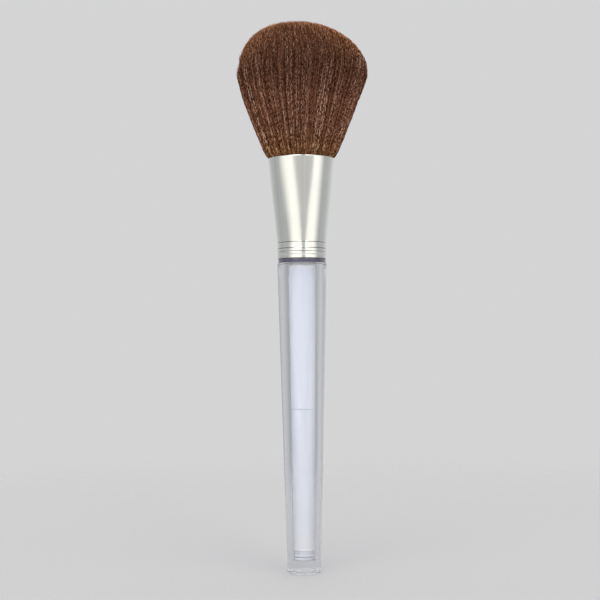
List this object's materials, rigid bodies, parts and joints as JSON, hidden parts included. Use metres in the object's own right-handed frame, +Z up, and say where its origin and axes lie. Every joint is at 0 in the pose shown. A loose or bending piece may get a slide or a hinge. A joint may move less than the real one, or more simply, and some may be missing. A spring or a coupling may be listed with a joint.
{
  "type": "powder brush",
  "caption": "Face powder brush with a dense domed hair head, a tapered crimped metal ferrule and a clear round handle with a satin core.",
  "frame": {"origin": "centre of the handle's flat foot, on the surface that the brush stands on", "axes": "+Z up the brush's axis, from the foot of the handle to the crown of the hair"},
  "size_m": [0.0442, 0.0443, 0.184],
  "materials": {
    "clear_acrylic": "clear, thick-walled and polished",
    "satin_core": "satin, lavender-white",
    "grey_core": "satin, light grey",
    "collar_violet": "dark violet-grey, half gloss",
    "polished_metal": "polished, bright",
    "cured_glue": "cured amber resin",
    "resin_hair": "hair set in resin",
    "waxed_thread": "waxed cotton thread",
    "brown_hair": "soft brown hair with lighter and darker streaks"
  },
  "bodies": {
    "root": {"bristles": "brown_hair", "hair_root": "resin_hair", "binding_thread": "waxed_thread", "glue_plug": "cured_glue", "ferrule": "polished_metal", "collar_ring": "collar_violet", "handle_sleeve": "clear_acrylic", "upper_core": "satin_core", "lower_core": "grey_core", "core_end_cap": "grey_core"}
  },
  "joints": []
}
